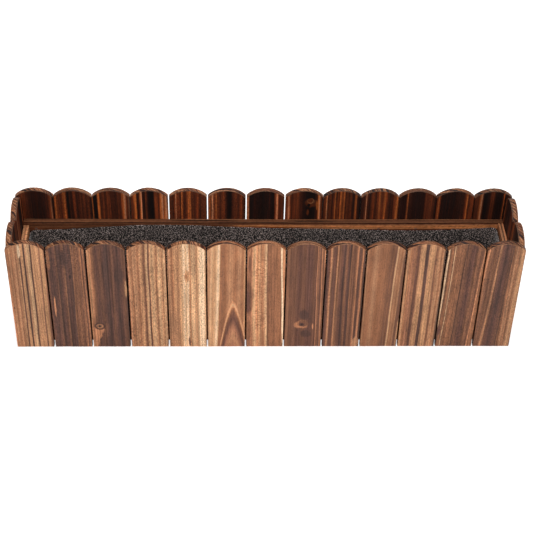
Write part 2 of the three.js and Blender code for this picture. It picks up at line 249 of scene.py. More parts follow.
    # Colour of the broad faces: stripes, the arched figure, patches, knots and the inner side.
    colour = ramp(across, stripes)
    if arch:
        spot, height, rise, tints = arch
        aside = work("SUBTRACT", work("ADD", plain, slow), spot)
        aside = work("MAXIMUM", work("MULTIPLY", aside, 0.9), work("MULTIPLY", aside, -1.0))
        sides = work("MULTIPLY", work("POWER", aside, 1.5), rise)
        inside = work("SUBTRACT", work("SUBTRACT", height, axes[grain]), sides)
        inside = work("ADD", inside, swing(grained(9, 4, 2.0, 5.0), 0.01))
        filled = ramp(spread(inside, 0, 0.12), tints)
        colour = blended(spread(inside, -0.002, 0.001, how="SMOOTHSTEP"), colour, filled)
    colour = daubed(colour, marks)
    for spot, height, size, tints in knots:
        beside = offset(plain, spot, width / size)
        above = offset(axes[grain], height, 1.1 / size)
        away = work("SQRT", squares(beside, above))
        away = work("ADD", away, swing(grained(6, 1, 3.0, 8.0), 0.4))
        colour = blended(spread(away, 1.15, 0.85, how="SMOOTHSTEP"), colour,
                         ramp(spread(away, 0, 1.1), tints))
    if inner or inward:
        dark = tinted(colour, 0.30, 0.19, 0.15)
        if inner:
            dark = tinted(ramp(across, inner), 1.5, 1.5, 1.65)
            lines = work("MULTIPLY", spread(grained(1.6, 70, 2.0, 5.5), 0.56, 0.66), 0.55)
            dark = blended(lines, dark, tinted(dark, 2.6, 2.0, 1.6))
        face = spread(work("MULTIPLY", deep, -inward), 0.002, 0.0045, how="SMOOTHSTEP")
        colour = blended(face, daubed(dark, inner_marks), colour)

    # Ripples that cross the grain, and the brush's short pale and dark dashes.
    for start, end, foot, top, strength in curl:
        scale = [1000.0 / 7] * 3
        scale[grain] = 1000.0 / 2.4
        where = joined(tree, "ShaderNodeMapping", in_0=place, in_1=(seed, seed * 0.3, 0),
                       in_3=scale)
        ripple = joined(tree, "ShaderNodeTexNoise", in_0=where, in_2=1.0, in_3=1.0, in_8=1.2)
        beside = work("MULTIPLY", spread(across, start - 0.04, start + 0.02),
                      spread(across, end + 0.04, end - 0.02))
        above = work("MULTIPLY", spread(axes[grain], foot, foot + 0.03),
                     spread(axes[grain], top, top - 0.02))
        here = work("MULTIPLY", work("MULTIPLY", beside, above), strength)
        colour = blended(work("MULTIPLY", here, spread(ripple, 0.52, 0.66)), colour,
                         tinted(colour, 1.3, 1.36, 1.42))
        colour = blended(work("MULTIPLY", here, spread(ripple, 0.46, 0.34)), colour,
                         tinted(colour, 0.6, 0.5, 0.45))
    dashes = grained(1.9, 2.4, 2.0, 6.6)
    colour = blended(work("MULTIPLY", spread(dashes, 0.54, 0.66), flecks), colour,
                     tinted(colour, 1.75, 1.75, 1.7))
    colour = blended(work("MULTIPLY", spread(dashes, 0.45, 0.33), 0.35 + flecks), colour,
                     tinted(colour, 0.5, 0.47, 0.46))

    # End grain: growth rings, charred in patches, with a pale line at the edge that is partly
    # wear and partly a painted highlight where the arris catches the light.
    normal = tree.nodes.new("ShaderNodeSeparateXYZ")
    tree.links.new(joined(tree, "ShaderNodeNewGeometry", 1), normal.inputs[0])
    up = work("ABSOLUTE", normal.outputs[grain])
    ring_place = work("MULTIPLY_ADD", deep, 1000.0 * ends[1],
                      work("MULTIPLY", axes[wide], 1000.0 * ends[0]))
    ring_place = work("ADD", ring_place, work("MULTIPLY_ADD", grained(9, 1, 2.0, 4.4), 8.0, seed))
    growth = joined(tree, "ShaderNodeTexNoise", noise_dimensions="1D", in_1=ring_place,
                    in_2=0.11, in_3=2.0)
    end_grain = ramp(spread(growth, 0.34, 0.66),
                     "0 pitch .2 bark .36 umber .44 rust .52 copper .6 straw .66 ember"
                     " .72 bark .86 pitch 1 rust")
    mottle = grained(15, 3, 3.0, 4.2)
    end_grain = blended(spread(mottle, 0.45, 0.7), end_grain, tinted(end_grain, 0.5, 0.38, 0.32))
    rim = work("ABSOLUTE", deep)
    charred = work("MULTIPLY", spread(rim, 0.0026, 0.004), spread(slow, -0.4 * wander, wander))
    end_grain = blended(charred, end_grain, tone("bark"))
    # A pale line near each edge of the end grain: partly worn wood, partly a painted highlight.
    worn_edge_and_highlight = work("MULTIPLY", spread(rim, 0.0046, 0.0054), spread(quick, -0.004, 0.002, 0.2, 1))
    end_grain = blended(worn_edge_and_highlight, end_grain, tone("honey"))
    far_edge = spread(work("MULTIPLY", deep, inward), 0.003, 0.0055)
    end_grain = blended(work("MULTIPLY", far_edge, 0.7), end_grain, tone("pitch"))
    colour = blended(spread(up, 0.34, 0.52, how="SMOOTHSTEP"), colour, end_grain)

    # Light and dark of the brushed rings and fibres, over everything, and their relief.
    rings = grained(2.8, 60, 2.0, 1.3)
    fibre = grained(0.9, 26, 3.0, 9.4)
    calm = 1 - smooth
    value = work("MULTIPLY", spread(rings, 0.33, 0.67, 1 - 0.36 * calm, 1 + 0.2 * calm),
                 spread(fibre, 0.25, 0.75, 0.8, 1.2))
    value = work("MULTIPLY", value, spread(mottle, 0.3, 0.7, 0.82, 1.16))
    grey = joined(tree, "ShaderNodeCombineColor", in_0=value, in_1=value, in_2=value)
    colour = blended(1.0, colour, grey, "MULTIPLY")
    if shade != 1.0:
        colour = tinted(colour, shade, shade, shade)
    tree.links.new(colour, wood.inputs["Base Color"])
    relief = work("ADD", work("MULTIPLY", rings, 0.7), work("MULTIPLY", fibre, 0.5))
    relief = work("ADD", relief, work("MULTIPLY", dashes, 0.25))
    tree.links.new(joined(tree, "ShaderNodeBump", in_0=0.55, in_1=0.0007, in_3=relief),
                   wood.inputs["Normal"])
    tree.links.new(spread(rings, 0.3, 0.7, 0.72, 0.5), wood.inputs["Roughness"])
    wood.inputs["Specular IOR Level"].default_value = 0.35
    return finish


def guide(name, scale):
    """An empty whose scale stretches the brushed furrows along the grain."""
    bpy.ops.object.select_all(action="DESELECT")
    bpy.ops.object.empty_add(location=(0, 0, 0))
    made = bpy.context.object
    made.name = name
    made.scale = scale
    return made


soft_grain = bpy.data.textures.new("soft_grain", "CLOUDS")
soft_grain.noise_scale = 1.0
soft_grain.noise_depth = 2
worn_wood = bpy.data.textures.new("worn_wood", "CLOUDS")
worn_wood.noise_scale = 0.03
worn_wood.noise_depth = 1
guides = [
    guide("grain_along_x", (0.22, 0.004, 0.004)),
    guide("grain_along_y", (0.004, 0.22, 0.004)),
    guide("grain_along_z", (0.0045, 0.0045, 0.16)),
]


def brushed(piece, grain, depth, wear, broad=None):
    """Brushing wears the soft grain into furrows and rounds the edges unevenly. All of it goes
    inwards, so the board never stands proud of its size. Broad is the axis that its broad faces
    look along, and the narrow ones are worn less. Depth and wear are in metres."""
    bpy.context.view_layer.objects.active = piece
    wearing = piece.vertex_groups.new(name="wearing")
    narrow_share = 0.12
    for face in piece.data.polygons:
        if broad is None or abs(face.normal[broad]) > 0.9:
            wearing.add(face.vertices, 1.0, "REPLACE")
    for point in piece.data.vertices:
        if not point.groups:
            wearing.add([point.index], narrow_share, "REPLACE")
    for name, texture, strength in (("furrows", soft_grain, depth), ("wear", worn_wood, wear)):
        change = piece.modifiers.new(name, "DISPLACE")
        change.texture = texture
        change.texture_coords = "OBJECT" if name == "furrows" else "GLOBAL"
        if name == "furrows":
            change.texture_coords_object = guides[grain]
        change.vertex_group = "wearing"
        change.mid_level = 1.0
        change.strength = strength
        bpy.ops.object.modifier_apply(modifier=name)
    piece.vertex_groups.clear()
    bpy.ops.object.select_all(action="DESELECT")
    piece.select_set(True)
    bpy.ops.object.shade_smooth_by_angle(angle=math.radians(35))


def cut_across(axis, low, high, cuts, first=1):
    """Cuts the mesh in edit mode across one axis, at even steps from low to high."""
    for cut in range(first, cuts):
        spot = [0, 0, 0]
        spot[axis] = low + (high - low) * cut / cuts
        bpy.ops.mesh.select_all(action="SELECT")
        bpy.ops.mesh.bisect(plane_co=spot, plane_no=[float(axis == other) for other in range(3)])


def sawn_board(name, low, high, grain, across_step, along_step=0.03):
    """A board between two corners, its edges eased, cut into a grid fine enough to brush."""
    size = [b - a for a, b in zip(low, high)]
    bpy.ops.object.select_all(action="DESELECT")
    bpy.ops.mesh.primitive_cube_add(
        size=1, location=[(a + b) / 2 for a, b in zip(low, high)], scale=size
    )
    piece = bpy.context.object
    piece.name = name
    bpy.ops.object.transform_apply(location=True, rotation=True, scale=True)
    bpy.ops.object.mode_set(mode="EDIT")
    bpy.ops.mesh.select_all(action="SELECT")
    bpy.ops.mesh.bevel(offset=0.001, segments=2, affect="EDGES")
    for axis in range(3):
        step = along_step if axis == grain else across_step
        cut_across(axis, low[axis], high[axis], max(1, round(size[axis] / step)))
    bpy.ops.object.mode_set(mode="OBJECT")
    return piece


rail_height, top_ring_foot, left_rail_drop, bottom_ring_foot = 0.025, 0.177, 0.007, 0.006
long_end, long_outside, long_inside = 0.4898, 0.0768, 0.0648
end_inside, end_tip = 0.4778, 0.0645
rails = {
    "front": ((-long_end, -long_outside), (long_end, -long_inside), 0),
    "back": ((-long_end, long_inside), (long_end, long_outside), 0),
    "left": ((-long_end, -end_tip), (-end_inside, end_tip), 1),
    "right": ((end_inside, -end_tip), (long_end, end_tip), 1),
}
rail_looks = {
    "front": dict(stripes="0 bark .2 umber .35 bark .5 umber .6 russet .75 umber .9 bark 1 umber",
                  wrap=-1),
    "back": dict(
        stripes="0 bark .08 umber .16 russet .24 umber .32 russet .4 russet .46 umber .52 russet"
        " .57 russet .62 umber .645 night .67 pitch .69 rust .72 russet .76 cocoa .79 rust"
        " .82 russet .85 cocoa .88 rust .91 cocoa .93 russet .945 tan .97 copper .985 russet"
        " 1 bark",
        wrap=1,
        marks=[
            (0.34, 0.36, 0.0058, 0.33, "copper"),
            (0.38, 0.35, 0.0032, 0.3, "blaze"),
            (0.18, 0.33, 0.0012, 0.22, "umber"),
            (0.46, 0.02, 0.0014, 0.1, "blaze"),
            (0.34, -0.02, 0.0012, 0.08, "ember"),
            (0.24, -0.02, 0.001, 0.07, "ember"),
            (0.8, 0.1, 0.0012, 0.06, "night"),
            (0.84, -0.12, 0.001, 0.07, "night"),
            (0.8, 0.3, 0.002, 0.16, "cocoa"),
        ],
    ),
    "left": dict(
        stripes="0 cocoa .2 tan .35 copper .5 tan .62 rust .7 honey .78 copper .84 cocoa .88 honey"
        " .95 tan 1 cocoa",
        wrap=-1,
        flecks=1.0,
        shade=1.3,
    ),
    "right": dict(
        stripes="0 russet .2 rust .35 cocoa .45 rust .55 copper .6 russet .66 pitch .7 copper"
        " .76 copper .79 honey .82 bark .87 russet .91 copper .94 copper .97 russet 1 bark",
        wrap=1,
        shade=1.25,
    ),
}
for side, (near, far, grain) in rails.items():
    top_foot = top_ring_foot - (left_rail_drop if side == "left" else 0)
    for ring, foot in (("top", top_foot), ("bottom", bottom_ring_foot)):
        name = f"{ring}_rail_{side}"
        low, high = (*near, foot), (*far, foot + rail_height)
        lath = sawn_board(name + "_lath", low, high, grain, across_step=0.003)
        brushed(lath, grain, depth=0.0006, wear=0.0005)
        lath.data.materials.append(
            scorched_fir(name, low, high, grain, 1 - grain, wander=0.06, **rail_looks[side])
        )
        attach(lath, "root")
        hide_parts(name)

# Wire nails, two millimetres thick. Eight join the rings at their corners and four hold the
# battens. Bright drawn steel; their heads are sunk and mostly hidden, so the solids stay.
steel = bpy.data.materials.new("drawn_steel")
steel.use_nodes = True
metal = steel.node_tree.nodes["Principled BSDF"]
metal.inputs["Metallic"].default_value = 1.0
where = joined(steel.node_tree, "ShaderNodeTexCoord", 3)
drawn = joined(steel.node_tree, "ShaderNodeTexNoise", in_0=where, in_2=900.0, in_3=3.0)
dulled = steel.node_tree.nodes.new("ShaderNodeValToRGB")
dulled.color_ramp.elements[0].color = (0.10, 0.085, 0.075, 1)
dulled.color_ramp.elements[1].color = (0.34, 0.32, 0.30, 1)
steel.node_tree.links.new(drawn, dulled.inputs[0])
steel.node_tree.links.new(dulled.outputs[0], metal.inputs["Base Color"])
steel.node_tree.links.new(
    joined(steel.node_tree, "ShaderNodeMapRange", in_0=drawn, in_3=0.35, in_4=0.6),
    metal.inputs["Roughness"],
)
for name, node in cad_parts.items():
    if "nail" in name:
        node.data.materials[0] = steel

# Floor. Two battens lie across the bottom ring and two floor boards on top, with a gap between
# them for water to drain. Sawn fir, scorched dark.
drain_edge, board_foot, board_top = 0.002, 0.0313, 0.0433
planks = {
    "floor_batten_left": (*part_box("floor_batten_left"), 1),
    "floor_batten_right": (*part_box("floor_batten_right"), 1),
    "floor_board_front": (
        (-long_end, -long_outside, board_foot), (long_end, -drain_edge, board_top), 0
    ),
    "floor_board_back": (
        (-long_end, drain_edge, board_foot), (long_end, long_outside, board_top), 0
    ),
}
plank_stripes = "0 umber .2 russet .35 umber .5 rust .62 cocoa .8 russet .9 umber 1 bark"
for name, (low, high, grain) in planks.items():
    plank = sawn_board(name + "_plank", low, high, grain, across_step=0.004)
    brushed(plank, grain, depth=0.0006, wear=0.0005)
    plank.data.materials.append(
        scorched_fir(name, low, high, grain, 2, plank_stripes, wander=0.06, shade=0.8)
    )
    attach(plank, "root")
    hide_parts(name)

# Picket blank. A fir board 75 by 13 mm, 255 mm to the shoulders, with a round arch 17 mm higher.
# It starts as a disc with the radius of the arch, cut off at the shoulders; that cut is then
# drawn down to the foot, the outline is eased, and a grid is cut for the brushing.
picket_width, picket_depth, shoulder, arch_top = 0.075, 0.013, 0.255, 0.272
arch_radius, arch_centre = 0.0499, 0.2221
bpy.ops.object.select_all(action="DESELECT")
bpy.ops.mesh.primitive_cylinder_add(
    vertices=120,
    radius=arch_radius,
    depth=picket_depth,
    location=(0, 0, arch_centre),
    rotation=(math.pi / 2, 0, 0),
)
blank = bpy.context.object
blank.name = "picket_blank"
bpy.ops.object.transform_apply(location=True, rotation=True, scale=True)
bpy.ops.object.mode_set(mode="EDIT")
bpy.ops.mesh.select_all(action="SELECT")
bpy.ops.mesh.bisect(
    plane_co=(0, 0, shoulder), plane_no=(0, 0, 1), use_fill=True, clear_inner=True
)
bpy.ops.object.mode_set(mode="OBJECT")
for face in blank.data.polygons:
    face.select = face.normal.z < -0.9
bpy.ops.object.mode_set(mode="EDIT")
bpy.ops.mesh.extrude_region_move(TRANSFORM_OT_translate={"value": (0, 0, -shoulder)})
bpy.ops.object.mode_set(mode="OBJECT")
for face in blank.data.polygons:
    face.select = abs(face.normal.y) > 0.9
bpy.ops.object.mode_set(mode="EDIT")
bpy.ops.mesh.dissolve_limited(angle_limit=0.01)
bpy.ops.mesh.region_to_loop()
bpy.ops.mesh.bevel(offset=0.0011, segments=2, affect="EDGES", clamp_overlap=False)
cut_across(0, -picket_width / 2, picket_width / 2, 60)
cut_across(2, 0, arch_top, 24)
cut_across(1, -picket_depth / 2, picket_depth / 2, 4)
bpy.ops.object.mode_set(mode="OBJECT")


def picket(name, turn, **looks):
    """A copy of the blank, turned, as wide as its node and in its place, brushed and finished."""
    low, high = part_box(name)
    side, through = (1, 0) if turn else (0, 1)
    bpy.ops.object.select_all(action="DESELECT")
    blank.select_set(True)
    bpy.context.view_layer.objects.active = blank
    bpy.ops.object.duplicate()
    made = bpy.context.object
    made.name = name + "_board"
    made.scale.x = (high[side] - low[side]) / picket_width
    made.rotation_euler = (0, 0, turn)
    made.location = ((low[0] + high[0]) / 2, (low[1] + high[1]) / 2, 0)
    bpy.ops.object.transform_apply(location=True, rotation=True, scale=True)
    brushed(made, 2, depth=0.0007, wear=0.0006, broad=through)
    made.data.materials.append(scorched_fir(name, tuple(low), tuple(high), 2, through, **looks))
    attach(made, "root")
    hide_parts(name)


# Front row. Thirteen pickets, each with its own grain: straw and copper lines where the brush
# cut deep, plum brown where the flame stayed. Stripes are read across each board from the left,
# and heights are above the ground. Its boards stand 2.6 mm apart.
front_looks = [
    dict(
        stripes="0 cocoa .02 tan .05 copper .08 rust .12 tan .16 rust .23 tan .27 russet .3 tan"
        " .345 honey .365 dusk .39 plum .4 honey .43 honey .46 honey .475 soot .505 dusk .52 tan"
        " .58 straw .63 straw .645 dusk .67 plum .685 honey .76 tan .8 honey .85 tan .88 plum"
        " .9 honey .95 honey .98 tan 1 cocoa",
        lean=(-0.03, -0.04),
        wander=0.012,
        marks=[(0.36, 0.252, 0.0032, 0.017, "cream"), (0.085, 0.107, 0.001, 0.002, "soot")],
        ends=(1.0, 0.9),
        flecks=0.4,
        shade=0.95,
    ),
    dict(
        stripes="0 cocoa .04 plum .12 dusk .2 plum .24 cocoa .28 dusk .38 plum .43 cocoa"
        " .455 russet .47 dusk .56 plum .6 dusk .63 dusk .655 rust .68 cocoa .76 russet .8 cocoa"
        " .84 cocoa .865 rust .885 copper .9 plum .93 cocoa .955 copper .975 russet 1 soot",
        marks=[
            (0.05, 0.232, 0.0035, 0.026, "rust"),
            (0.1, 0.11, 0.0016, 0.03, "copper"),
            (0.43, 0.235, 0.012, 0.02, "dusk"),
            (0.57, 0.188, 0.0025, 0.005, "soot"),
        ],
        curl=[(0.2, 0.8, 0.185, 0.275, 1.0)],
        ends=(0.8, 0.5),
        flecks=0.45,
        shade=0.9,
    ),
    dict(
        stripes="0 russet .015 copper .06 honey .1 copper .14 rust .19 cocoa .25 plum .33 cocoa"
        " .4 plum .46 dusk .52 dusk .57 plum .63 cocoa .7 plum .78 dusk .85 plum .92 cocoa"
        " .97 cocoa 1 soot",
        knots=[
            (0.21, 0.057, 0.0105, "0 night .14 soot .26 russet .4 tan .55 rust .66 cocoa .8 soot"
             " .9 bark 1 cocoa"),
        ],
        marks=[
            (0.8, 0.19, 0.009, 0.022, "dusk"),
            (0.45, 0.2, 0.006, 0.035, "dusk"),
            (0.965, 0.156, 0.0022, 0.022, "honey"),
            (0.17, 0.045, 0.0125, 0.011, "copper"),
            (0.14, 0.032, 0.009, 0.012, "copper"),
            (0.11, 0.017, 0.0055, 0.013, "copper"),
        ],
        ends=(0.8, 0.9),
        shade=0.84,
    ),
    dict(
        stripes="0 cocoa .02 copper .05 tan .1 rust .16 tan .22 tan .28 rust .32 tan .36 honey"
        " .4 tan .425 cocoa .455 cocoa .475 honey .52 straw .54 plum .565 cocoa .58 honey .64 straw"
        " .7 honey .73 tan .755 russet .77 honey .82 straw .87 honey .9 tan .93 honey .97 straw"
        " 1 rust",
        ends=(0.9, 0.8),
        flecks=0.6,
        shade=0.96,
    ),
    dict(
        stripes="0 rust .02 honey .04 cocoa .06 tan .14 rust .2 honey .26 tan .32 honey .38 straw"
        " .44 cream .48 straw .53 cream .57 honey .59 rust .62 straw .7 straw .75 tan .8 straw"
        " .86 cream .94 cream .98 straw 1 tan",
        marks=[
            (0.2, 0.045, 0.009, 0.06, "tan"),
            (0.5, 0.19, 0.006, 0.016, "honey"),
            (0.48, 0.189, 0.002, 0.006, "rust"),
            (0.55, 0.014, 0.0018, 0.014, "plum"),
        ],
        ends=(1.0, 0.2),
        flecks=0.65,
        shade=1.05,
    ),
    dict(
        stripes="0 russet .03 honey .1 tan .14 straw .2 honey .26 straw .31 cream .345 straw"
        " .355 rust .42 russet .5 rust .62 tan .75 rust .85 tan .93 rust .98 honey 1 russet",
        lean=(-0.12, 0.0),
        arch=(0.672, 0.127, 0.58, "0 tan .03 copper .09 straw .14 copper .18 rust .24 cocoa"
              " .4 plum .62 rose .8 tan 1 rose"),
        smooth=0.6,
        curl=[(0.3, 0.42, 0.17, 0.225, 0.8)],
        ends=(0.12, 1.6),
        wander=0.02,
        flecks=0.2,
        shade=1.07,
    ),
    dict(
        stripes="0 cocoa .02 rust .06 rose .1 rust .13 rose .155 honey .2 straw .26 copper .3 honey"
        " .35 tan .4 rust .44 tan .48 straw .505 straw .515 cocoa .56 russet .7 russet .8 rust"
        " .865 russet .875 cream .91 cream .92 tan .95 copper .98 tan 1 cocoa",
        lean=(0.0, 0.11),
        marks=[
            (0.08, 0.222, 0.0028, 0.024, "cocoa"),
            (0.05, 0.135, 0.009, 0.045, "cocoa"),
            (0.04, 0.12, 0.005, 0.03, "plum"),
            (0.05, 0.045, 0.0045, 0.03, "russet"),
        ],
        curl=[(0.22, 0.5, 0.03, 0.25, 1.0)],
        ends=(0.15, 1.5),
        flecks=0.25,
        shade=1.14,
    ),
    dict(
        stripes="0 cocoa .05 russet .12 cocoa .25 cocoa .34 plum .45 cocoa .55 plum .65 plum"
        " .73 cocoa .775 plum .79 copper .805 cocoa .83 russet .86 plum .885 cocoa .905 copper"
        " .925 russet .95 cocoa .975 copper .99 copper 1 soot",
        lean=(0.0, 0.05),
        knots=[
            (0.46, 0.0615, 0.0055, "0 night .3 soot .6 dusk 1 plum"),
        ],
        marks=[
            (0.49, 0.088, 0.009, 0.014, "dusk"),
            (0.54, 0.036, 0.01, 0.011, "dusk"),
            (0.42, 0.0605, 0.0118, 0.0098, "copper"),
            (0.465, 0.0635, 0.0104, 0.0092, "russet"),
            (0.48, 0.064, 0.0088, 0.008, "cocoa"),
            (0.715, 0.056, 0.0014, 0.008, "copper"),
        ],
        ends=(0.1, 1.7),
        flecks=0.2,
        smooth=0.3,
        shade=0.95,
    ),
    dict(
        stripes="0 soot .03 plum .08 cocoa .1 copper .125 tan .14 cocoa .2 plum .25 cocoa"
        " .265 copper .285 tan .3 russet .35 cocoa .42 plum .44 dusk .48 dusk .5 cocoa .53 russet"
        " .57 plum .6 dusk .62 dusk .64 russet .7 cocoa .76 cocoa .79 rust .81 copper .825 cocoa"
        " .87 dusk .9 cocoa .92 copper .94 copper .955 cocoa 1 soot",
        marks=[(0.9, 0.012, 0.007, 0.014, "tan")],
        curl=[(0.02, 0.12, 0.08, 0.25, 0.8)],
        ends=(0.25, 1.4),
    ),
    dict(
        stripes="0 russet .02 tan .06 rust .15 rust .25 tan .35 rust .5 rust .6 russet .66 cocoa"
        " .7 russet .74 cocoa .77 cocoa .785 honey .81 straw .835 rust .88 tan .93 rust .97 tan"
        " 1 cocoa",
        lean=(0.0, -0.14),
        marks=[(1.08, 0.03, 0.0015, 0.05, "honey")],
        ends=(0.3, 1.3),
        flecks=0.2,
        smooth=0.6,
        shade=0.9,
    ),
    dict(
        stripes="0 russet .02 tan .04 honey .08 tan .1 rust .115 copper .13 rust .2 rose .25 russet"
        " .29 plum .335 cocoa .355 tan .4 honey .45 honey .475 tan .495 dusk .56 dusk .58 tan"
        " .62 honey .7 honey .735 tan .755 cocoa .79 russet .81 tan .87 tan .9 rust .95 tan 1 soot",
        lean=(-0.02, -0.02),
        ends=(0.4, 1.2),
    ),
    dict(
        stripes="0 soot .025 bark .035 straw .05 cream .075 straw .085 bark .13 rust .19 russet"
        " .195 cocoa .205 straw .22 straw .235 cocoa .25 russet .33 rust .42 russet .5 russet"
        " .515 soot .54 cocoa .6 cocoa .66 plum .74 plum .79 cocoa .85 russet .93 cocoa .965 russet"
        " .98 copper .993 copper 1 rust",
        lean=(-0.08, -0.14),
        marks=[(0.11, 0.045, 0.004, 0.014, "plum")],
        curl=[(0.0, 0.16, 0.025, 0.065, 1.0)],
        ends=(0.6, 1.0),
        flecks=0.45,
        shade=0.93,
    ),
    dict(
        stripes="0 russet .03 rust .055 copper .08 copper .095 russet .15 russet .2 cocoa"
        " .26 russet .32 cocoa .345 tan .36 copper .375 tan .39 cocoa .45 plum .52 dusk .58 plum"
        " .64 cocoa .67 cocoa .68 soot .7 russet .74 rust .78 tan .83 rust .88 tan .93 honey"
        " .98 tan 1 cocoa",
        lean=(-0.22, 0.0),
        ends=(0.7, 1.0),
        flecks=0.5,
        shade=0.83,
    ),
]
for number, looks in enumerate(front_looks, 1):
    picket(f"front_picket_{number:02d}", 0, inward=1, **looks)

# Back row. Only the inner faces of these thirteen show from the front: scorched almost black,
# with saturated orange lines where the hard grain stands up. Outside they have the grain of the
# front row in another order. They are a little wider, so most seams of this row are closed.
inner_stripes = [
    "0 bark .1 bark .2 umber .3 bark .45 pitch .7 pitch .86 bark .92 umber .95 russet .97 bark"
    " 1 night",
    "0 umber .04 ember .1 umber .16 umber .2 bark .24 umber .28 ember .33 umber .36 night .4 night"
    " .44 bark .5 pitch .56 umber .6 bark .68 bark .71 umber .75 bark .82 umber .86 bark .92 umber"
    " .96 bark 1 night",
    "0 umber .015 ember .04 night .13 night .16 ember .19 ember .22 bark .3 umber .36 bark"
    " .45 umber .52 bark .6 bark .66 bark .69 umber .72 bark .78 umber .82 ember .86 copper"
    " .89 umber .93 bark .97 cocoa 1 night",
    "0 bark .08 umber .12 ember .15 ember .18 night .24 bark .265 ember .3 copper .32 bark"
    " .38 night .42 umber .46 pitch .52 night .63 night .66 umber .72 umber .75 bark .78 umber"
    " .81 ember .86 copper .88 umber .9 ember .95 copper .98 umber 1 night",
    "0 bark .05 umber .12 bark .165 umber .18 copper .2 umber .25 umber .32 bark .345 ember"
    " .37 umber .42 bark .48 umber .52 ember .56 ember .6 umber .68 bark .75 umber .82 bark"
    " .9 umber .96 umber 1 night",
    "0 umber .03 ember .08 umber .12 copper .15 umber .19 umber .215 ember .24 umber .32 bark"
    " .4 umber .47 bark .52 night .6 night .66 bark .72 umber .8 bark .88 umber .94 bark 1 night",
    "0 umber .03 copper .06 umber .08 night .2 pitch .4 night .6 pitch .72 night .77 umber"
    " .8 copper .84 umber .87 bark .95 umber 1 night",
    "0 umber .06 umber .09 copper .12 umber .16 bark .3 umber .4 bark .48 pitch .6 night"
    " .75 night .85 bark .88 ember .91 copper .93 umber 1 night",
    "0 bark .06 umber .08 ember .1 copper .12 bark .18 umber .24 bark .28 umber .32 ember"
    " .345 night .37 umber .41 umber .43 night .45 ember .52 umber .56 ember .59 night .62 umber"
    " .68 bark .74 umber .79 bark .84 bark .86 ember .89 ember .91 bark 1 night",
    "0 bark .08 bark .12 umber .14 copper .16 umber .19 bark .25 bark .3 umber .36 umber .39 bark"
    " .44 umber .5 ember .53 umber .58 umber .63 ember .66 umber .71 umber .74 bark .82 bark"
    " .88 umber .93 ember .97 ember 1 night",
    "0 umber .02 bark .08 pitch .19 pitch .21 umber .23 ember .25 bark .35 pitch .5 pitch"
    " .68 pitch .72 umber .75 bark .85 umber .92 bark 1 night",
    "0 bark .04 umber .06 ember .09 umber .12 pitch .3 pitch .5 pitch .7 bark .75 bark .78 umber"
    " .81 ember .84 bark .9 umber .95 umber 1 night",
    "0 bark .06 umber .12 umber .155 ember .19 copper .22 umber .25 night .36 pitch .42 bark"
    " .5 umber .55 pitch .72 pitch .765 umber .78 ember .8 pitch .9 bark .96 umber 1 night",
]
inner_burl = [
    (0.7, 0.242, 0.013, 0.011, "umber"),
    (0.68, 0.247, 0.0075, 0.0065, "rust"),
    (0.66, 0.248, 0.0055, 0.005, "umber"),
    (0.84, 0.236, 0.0025, 0.013, "ember"),
    (0.62, 0.236, 0.003, 0.004, "night"),
    (0.6, 0.218, 0.003, 0.008, "umber"),
]
inner_shades = (0.95, 0.7, 0.8, 0.95, 0.92, 1.0, 1.0, 0.95, 0.68, 0.75, 0.9, 0.8, 0.6)
brightly_flecked = (2, 5, 6)
for number, stripes in enumerate(inner_stripes, 1):
    picket(
        f"back_picket_{number:02d}",
        0,
        inward=-1,
        stripes=front_looks[(5 * number + 2) % 13]["stripes"],
        inner=stripes,
        inner_marks=inner_burl if number == 8 else (),
        ends=front_looks[(3 * number) % 13]["ends"],
        flecks=0.7 if number in brightly_flecked else 0.3,
        wander=0.02,
        shade=inner_shades[number - 1],
    )

# End rows. Two pickets close each end between the long rows, their outer faces outwards. They
# borrow their grain from boards of the long rows, counted on from a first one.
for side, inward, first in (("left", 1, 3), ("right", -1, 9)):
    for number in (1, 2):
        picket(
            f"{side}_picket_{number}",
            math.pi / 2,
            inward=inward,
            stripes=front_looks[(first + 4 * number) % 13]["stripes"],
            inner=inner_stripes[(first + 2 * number) % 13],
        )
bpy.data.objects.remove(blank)
for empty in guides:
    bpy.data.objects.remove(empty)

# Staples. Flat steel wire, driven from inside: one where each picket crosses a rail, and four
# pairs in each floor board. One is modelled, a crown with two legs, and copied to every place.
crown_width, wire_depth, wire_width = 0.0057, 0.00105, 0.00125
leg_inside, leg_length = 0.0016, 0.009
bpy.ops.object.select_all(action="DESELECT")
bpy.ops.mesh.primitive_cube_add(
    size=1, location=(0, 0.0003, 0), scale=(crown_width, wire_depth, wire_width)
)
staple = bpy.context.object
staple.name = "staple_pattern"
bpy.ops.object.transform_apply(location=True, rotation=True, scale=True)
bpy.ops.object.mode_set(mode="EDIT")
for side in (-1, 1):
    bpy.ops.mesh.select_all(action="SELECT")
    bpy.ops.mesh.bisect(plane_co=(side * leg_inside, 0, 0), plane_no=(1, 0, 0))
bpy.ops.object.mode_set(mode="OBJECT")
for face in staple.data.polygons:
    face.select = face.normal.y > 0.9 and abs(face.center.x) > leg_inside
bpy.ops.object.mode_set(mode="EDIT")
bpy.ops.mesh.extrude_region_move(TRANSFORM_OT_translate={"value": (0, leg_length, 0)})
bpy.ops.object.mode_set(mode="OBJECT")
for edge in staple.data.edges:
    a, b = (staple.data.vertices[v].co for v in edge.vertices)
    edge.select = max(a.y, b.y) < 0
bpy.ops.object.mode_set(mode="EDIT")
bpy.ops.mesh.bevel(offset=0.00025, segments=2, affect="EDGES")
bpy.ops.object.mode_set(mode="OBJECT")


